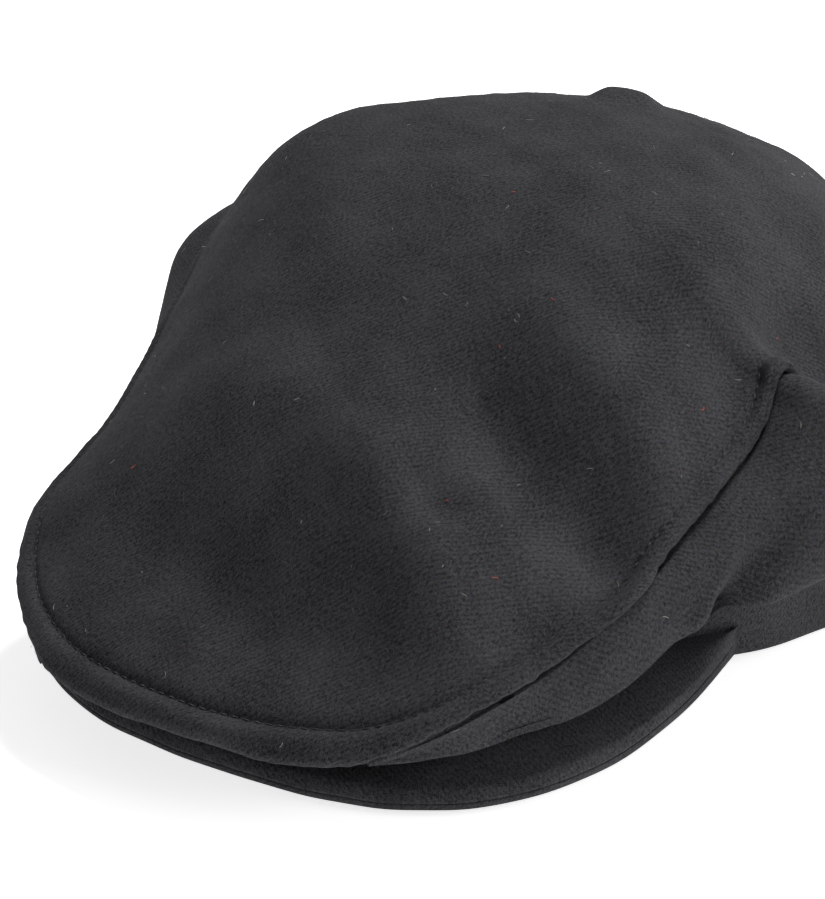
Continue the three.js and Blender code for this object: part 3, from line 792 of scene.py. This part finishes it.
def seam_stitch_line(outer, normals, distance):
    """The topstitch's line inside the top panel's edge, from back to front to back."""
    middle = outer.shape[1] // 2
    halves = []
    for columns, step, seam in ((slice(0, middle + 1), 1, seam_right),
                                (slice(middle, None), -1, seam_left)):
        insets = mix(STITCH_INSET, LIP_STITCH_INSET, lip_share(seam))
        grid, out, gap = (values[:, columns][:, ::step] for values in (outer, normals, distance))
        rows = []
        for points, directions, away, inset in zip(grid, out, gap, insets):
            rows.append([np.interp(inset, away, values[:, k])
                         for values in (points, directions) for k in range(3)])
        halves.append(np.array(rows))
    line = np.vstack([halves[0][::-1], halves[1][1:]])
    return line[:, :3], unit(line[:, 3:])


def scattered(obj, count, seed, keep):
    """Random places on a piece's outer faces: points and normals."""
    mesh = obj.data
    total = len(mesh.polygons)
    centre, normal, area = np.zeros(total * 3), np.zeros(total * 3), np.zeros(total)
    mesh.polygons.foreach_get("center", centre)
    mesh.polygons.foreach_get("normal", normal)
    mesh.polygons.foreach_get("area", area)
    centre = centre.reshape(-1, 3) / MM - (0, HEAD_CENTRE_Y, 0)
    normal = normal.reshape(-1, 3)
    draw = np.random.default_rng(seed)
    area = area * keep(centre, normal)
    picked = draw.choice(total, count, p=area / area.sum())
    spread = np.sqrt(area[picked])[:, None] / MM * 0.4
    point = centre[picked] + unit(np.cross(normal[picked], draw.normal(size=(count, 3)))) * spread
    return point, normal[picked], draw


def loose_fibres(name, places, length, radius, lift, curl):
    """Loose fibres at the given places: length, radius and lift are (low, high)."""
    points, normals, draw = places
    count = len(points)
    way = unit(np.cross(normals, draw.normal(size=(count, 3))))
    side = np.cross(normals, way)
    share = np.linspace(0, 1, 7)[None, :, None]
    span = draw.uniform(*length, (count, 1, 1))
    bend = draw.normal(0, curl, (count, 1, 1))
    twist = draw.normal(0, curl, (count, 1, 1))
    high = draw.uniform(*lift, (count, 1, 1))
    path = points[:, None] + way[:, None] * span * (share - 0.5)
    sway = bend * (share - 0.5) ** 2 + twist * (share - 0.5) ** 3 * 2
    path = path + side[:, None] * span * sway
    path = path + normals[:, None] * (0.1 + high * np.sin(math.pi * share * 0.75))
    taper = np.array([0.5, 0.9, 1, 1, 1, 0.85, 0.4])
    return tubes(name, path, draw.uniform(*radius, (count, 1)) * taper)


# ---------------- materials
TWILL_DEGREES = -45
TWILL_WAVE = {"Scale": 0.32, "Distortion": 3.5, "Detail": 2, "Detail Scale": 1.2}


def new_material(name):
    material = bpy.data.materials.new(name)
    material.use_nodes = True
    return material, material.node_tree, material.node_tree.nodes["Principled BSDF"]


def stretched(tree, vector, scale=(1, 1, 1), turn=0.0):
    """A vector scaled and turned about Z."""
    node = tree.nodes.new("ShaderNodeMapping")
    node.inputs["Scale"].default_value = scale
    node.inputs["Rotation"].default_value = (0, 0, turn)
    tree.links.new(vector, node.inputs["Vector"])
    return node.outputs["Vector"]


def noise(tree, vector, scale, detail, rough=0.5):
    node = tree.nodes.new("ShaderNodeTexNoise")
    node.inputs["Scale"].default_value = scale
    node.inputs["Detail"].default_value = detail
    node.inputs["Roughness"].default_value = rough
    tree.links.new(vector, node.inputs["Vector"])
    return node.outputs


def combine(tree, kind, a, b):
    """A sum, difference or product of sockets and numbers."""
    node = tree.nodes.new("ShaderNodeMath")
    node.operation = kind
    for socket, value in zip(node.inputs, (a, b)):
        if isinstance(value, (int, float)):
            socket.default_value = value
        else:
            tree.links.new(value, socket)
    return node.outputs[0]


def weighted(tree, *parts):
    """The sum of (socket, weight) pairs."""
    total, *others = [combine(tree, "MULTIPLY", *part) for part in parts]
    for other in others:
        total = combine(tree, "ADD", total, other)
    return total


def centred(tree, value):
    return combine(tree, "SUBTRACT", value, 0.5)


def ramp(tree, value, low, high, dark, light):
    """From the dark colour, at values up to low, to the light one, from high."""
    node = tree.nodes.new("ShaderNodeValToRGB")
    for element, position, colour in zip(node.color_ramp.elements, (low, high), (dark, light)):
        element.position = position
        element.color = (*colour, 1)
    tree.links.new(value, node.inputs["Fac"])
    return node.outputs["Color"]


def bump(tree, shader, height, strength, distance):
    """Relief in the shading, distance millimetres deep."""
    node = tree.nodes.new("ShaderNodeBump")
    node.inputs["Strength"].default_value = strength
    node.inputs["Distance"].default_value = distance * MM
    tree.links.new(height, node.inputs["Height"])
    tree.links.new(node.outputs["Normal"], shader.inputs["Normal"])


def wool_material(name, dark, light):
    """Felted wool: fibres, streaks and clumps over a faint twill; scales are per millimetre."""
    material, tree, shader = new_material(name)
    attribute = tree.nodes.new("ShaderNodeAttribute")
    attribute.attribute_name = "weave"
    weave = attribute.outputs["Vector"]
    wave = tree.nodes.new("ShaderNodeTexWave")
    wave.wave_type = "BANDS"
    wave.bands_direction = "Y"
    for socket, value in TWILL_WAVE.items():
        wave.inputs[socket].default_value = value
    turned = stretched(tree, weave, turn=math.radians(TWILL_DEGREES))
    tree.links.new(turned, wave.inputs["Vector"])
    twill = wave.outputs["Fac"]
    fibres = noise(tree, weave, 4.4, 4, 0.75)["Fac"]
    clumps = noise(tree, weave, 1.2, 2, 0.6)["Fac"]
    streaks = noise(tree, stretched(tree, weave, (1, 0.4, 1)), 2.0, 3, 0.6)["Fac"]
    blotches = noise(tree, weave, 0.05, 2, 0.6)["Fac"]
    grain = weighted(tree, (fibres, 0.62), (streaks, 0.2), (clumps, 0.18))
    unevenness = weighted(tree, (centred(tree, blotches), 0.12), (centred(tree, twill), 0.03))
    shade = combine(tree, "ADD", grain, unevenness)
    blend = tree.nodes.new("ShaderNodeMix")
    blend.data_type = "RGBA"
    blend.blend_type = "OVERLAY"
    blend.inputs["Factor"].default_value = 0.35
    base, tint = (socket for socket in blend.inputs if socket.type == "RGBA")
    tree.links.new(ramp(tree, shade, 0.41, 0.60, dark, light), base)
    tree.links.new(noise(tree, weave, 2.6, 2)["Color"], tint)
    blended, = (socket for socket in blend.outputs if socket.type == "RGBA")
    tree.links.new(blended, shader.inputs["Base Color"])
    bump(tree, shader, weighted(tree, (grain, 0.9), (twill, 0.05)), 0.8, 0.3)
    shader.inputs["Roughness"].default_value = 0.95
    shader.inputs["Specular IOR Level"].default_value = 0.08
    shader.inputs["Sheen Weight"].default_value = 0.03
    shader.inputs["Sheen Roughness"].default_value = 0.45
    shader.inputs["Sheen Tint"].default_value = (0.75, 0.8, 0.9, 1)
    return material


def plain_material(name, dark, light, scale, roughness, depth, sheen=0.0, metal=0.0,
                   anisotropy=0.0):
    """A fine grain in colour and height; scale is per metre, depth is the relief in mm."""
    material, tree, shader = new_material(name)
    coordinates = tree.nodes.new("ShaderNodeTexCoord").outputs["Object"]
    grain = noise(tree, coordinates, scale, 3)["Fac"]
    tree.links.new(ramp(tree, grain, 0.35, 0.65, dark, light), shader.inputs["Base Color"])
    bump(tree, shader, grain, 0.6, depth)
    shader.inputs["Roughness"].default_value = roughness
    shader.inputs["Metallic"].default_value = metal
    shader.inputs["Sheen Weight"].default_value = sheen
    shader.inputs["Anisotropic"].default_value = anisotropy
    return material


# ---------------- stage
LIGHT_TARGET = (0, 0, 0.04)
# Soft lights: name, place in metres, side of the square, power in watts.
LIGHTS = [("key", (0.1, 0.85, 1.4), 0.5, 27), ("fill", (1.3, 0.2, 0.65), 0.6, 8.5)]
FLOOR_HALF_WIDTH = 6.0
CAMERA_AZIMUTH = 29.47   # degrees from the front towards the wearer's left
CAMERA_ELEVATION = 26.85
CAMERA_DISTANCE = 0.50964
CAMERA_TARGET = (2.35, -65.25, 40)
CAMERA_LENS = 95.085


def area_light(name, place_at, size, power):
    data = bpy.data.lights.new(name, "AREA")
    data.energy = power
    data.size = size
    obj = add_object(name, data)
    obj.location = place_at
    away = Vector(place_at) - Vector(LIGHT_TARGET)
    obj.rotation_euler = away.to_track_quat("Z", "Y").to_euler()


def stage():
    """A pale floor in soft light."""
    world = bpy.data.worlds.new("studio")
    bpy.context.scene.world = world
    world.use_nodes = True
    background = world.node_tree.nodes["Background"]
    background.inputs["Color"].default_value = (0.96, 0.98, 1, 1)
    background.inputs["Strength"].default_value = 0.22
    bpy.context.scene.view_settings.view_transform = "Standard"
    for light in LIGHTS:
        area_light(*light)
    mesh = bpy.data.meshes.new("floor")
    size = FLOOR_HALF_WIDTH
    corners = [(-size, -size, 0), (size, -size, 0), (size, size, 0), (-size, size, 0)]
    mesh.from_pydata(corners, [], [(0, 1, 2, 3)])
    floor = add_object("floor", mesh)
    material, _, shader = new_material("pale_floor")
    shader.inputs["Base Color"].default_value = (0.92, 0.92, 0.92, 1)
    shader.inputs["Roughness"].default_value = 0.9
    shader.inputs["Emission Color"].default_value = (1, 1, 1, 1)
    shader.inputs["Emission Strength"].default_value = 0.75
    mesh.materials.append(material)


def camera():
    data = bpy.data.cameras.new("camera")
    data.lens = CAMERA_LENS
    data.sensor_width = 36
    data.clip_start = 0.01
    obj = add_object("camera", data)
    azimuth, elevation = math.radians(CAMERA_AZIMUTH), math.radians(CAMERA_ELEVATION)
    back = Vector((
        math.sin(azimuth) * math.cos(elevation), -math.cos(azimuth) * math.cos(elevation),
        math.sin(elevation)))
    obj.location = Vector(place(CAMERA_TARGET)) + back * CAMERA_DISTANCE
    obj.rotation_euler = back.to_track_quat("Z", "Y").to_euler()
    bpy.context.scene.camera = obj


# ---------------- assembly
def set_material(obj, material):
    obj.data.materials.clear()
    obj.data.materials.append(material)


def finish_piece(obj, material, nodes=(), body="root", bends=False):
    """Material, slot, replaced CAD nodes and body of a piece; one that bends gets no body, its
    place baked into its points.
    """
    set_material(obj, material)
    if nodes:
        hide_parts(*nodes)
    if bends:
        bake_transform(obj)
    else:
        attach(obj, body)


camera()
stage()
wool = wool_material("wool", (0.0036, 0.0036, 0.004), (0.07, 0.0695, 0.074))
cotton = plain_material("cotton", (0.012, 0.012, 0.013), (0.03, 0.03, 0.032), 1800, 0.9, 0.2, 0.1)
satin = plain_material(
    "satin", (0.016, 0.016, 0.019), (0.024, 0.024, 0.028), 900, 0.36, 0.04, anisotropy=0.5)
board = plain_material("board", (0.62, 0.6, 0.55), (0.76, 0.74, 0.69), 500, 0.7, 0.05)
steel = plain_material("steel", (0.42, 0.42, 0.43), (0.56, 0.56, 0.57), 900, 0.32, 0.02, metal=1.0)
thread = plain_material("thread", (0.012, 0.012, 0.013), (0.035, 0.035, 0.038), 3000, 0.7, 0.1)
fuzz = plain_material("fuzz", (0.015, 0.015, 0.017), (0.09, 0.09, 0.095), 90, 0.8, 0.01)
lint = plain_material("lint", (0.12, 0.11, 0.1), (0.45, 0.43, 0.39), 60, 0.8, 0.01)
red_lint = plain_material("red_lint", (0.45, 0.05, 0.04), (0.6, 0.1, 0.07), 60, 0.8, 0.01)

top, top_outer, top_normals, top_distance = top_panel()
finish_piece(top, wool, ("top_panel",), bends=True)
left_side = side_panel(
    "left_side_wool", LEFT_SEAM, LEFT_FOLD, LEFT_FULL, LEFT_BULGES, LEFT_PATHS, seed=21)
finish_piece(left_side, wool, ("left_side_panel",), bends=True)
right_side = side_panel(
    "right_side_wool", RIGHT_SEAM, RIGHT_FOLD, RIGHT_FULL, RIGHT_BULGES, [], seed=22)
finish_piece(right_side, wool, ("right_side_panel",), bends=True)
band = rounded_band("headband_wool", 0, BAND_THICKNESS, 0, BAND_TOP, BAND_RIPPLE)
finish_piece(band, wool, ("headband",))
visor_top = visor_cover("visor_top_wool", True)
finish_piece(visor_top, wool, ("visor_top_cover",))
visor_under = visor_cover("visor_under_wool", False)
finish_piece(visor_under, wool, ("visor_under_cover",))
sweat = rounded_band(
    "sweatband_cotton", SWEAT_GROW, SWEAT_THICKNESS, SWEAT_LIFT, SWEAT_TOP, SWEAT_RIPPLE)
finish_piece(sweat, cotton, ("sweatband",))
finish_piece(lining_top(), satin, ("lining_top",))
finish_piece(lining_side("lining_left_satin", 1), satin, ("lining_left",))
finish_piece(lining_side("lining_right_satin", -1), satin, ("lining_right",))
finish_piece(lip_facing(), cotton, ("lip_facing",), "crown_front")
for name, material in (("visor_board", board), ("snap_stud", steel), ("snap_stud_post", steel),
                       ("snap_socket", steel), ("snap_socket_cap", steel)):
    set_material(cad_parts[name], material)

# Stitches round the top panel's folded edge, and along the sweatband's lower edge.
line, line_normals = seam_stitch_line(top_outer, top_normals, top_distance)
topstitch = stitches(
    "topstitch", line, line_normals, STITCH_PITCH, STITCH_LENGTH, THREAD_RADIUS, 0.02)
finish_piece(topstitch, thread, bends=True)
turn = np.linspace(-math.pi, math.pi, 721)
inner_grow = SWEAT_GROW - SWEAT_THICKNESS + BAND_FLARE * 0.6
edge_line = np.stack([
    (BAND_HALF_WIDTH + inner_grow) * np.sin(turn), -(BAND_HALF_LENGTH + inner_grow) * np.cos(turn),
    band_bottom(turn) + SWEAT_LIFT + 3.5], -1)
inward = np.stack([-np.sin(turn), np.cos(turn), np.zeros_like(turn)], -1)
band_stitch = stitches("sweatband_stitch", edge_line, inward, 3.0, 2.2, 0.2, 0.15)
finish_piece(band_stitch, thread)


# Loose fibres standing off the nap, and lint lying on it.
def facing_up(centre, normal):
    return (normal[:, 2] > 0.12) & (centre[:, 2] > 12)


def facing_out(centre, normal):
    return np.sum(normal[:, :2] * centre[:, :2], axis=1) > 25


# for each kind of fibre: length, radius, how far it stands off, curl
NAP = ((1.0, 3.0), (0.018, 0.032), (0.05, 0.6), 0.6)
LINT = ((0.4, 1.8), (0.03, 0.06), (0, 0.1), 0.6)
RED_LINT = ((0.6, 1.4), (0.05, 0.08), (0, 0.1), 0.8)
FIBRES_PER_LINT = 22

for piece, count, keep, bends in (
        (top, 2600, facing_up, True), (left_side, 420, facing_out, True),
        (right_side, 420, facing_out, True), (band, 160, facing_out, False),
        (visor_top, 160, facing_up, False)):
    label = piece.name.replace("_wool", "")
    nap = loose_fibres(label + "_nap", scattered(piece, count, 61, keep), *NAP)
    finish_piece(nap, fuzz, bends=bends)
    specks = max(count // FIBRES_PER_LINT, 8)
    flecks = loose_fibres(label + "_lint", scattered(piece, specks, 62, keep), *LINT)
    finish_piece(flecks, lint, bends=bends)
red = loose_fibres("red_lint", scattered(top, 9, 63, facing_up), *RED_LINT)
finish_piece(red, red_lint, bends=True)
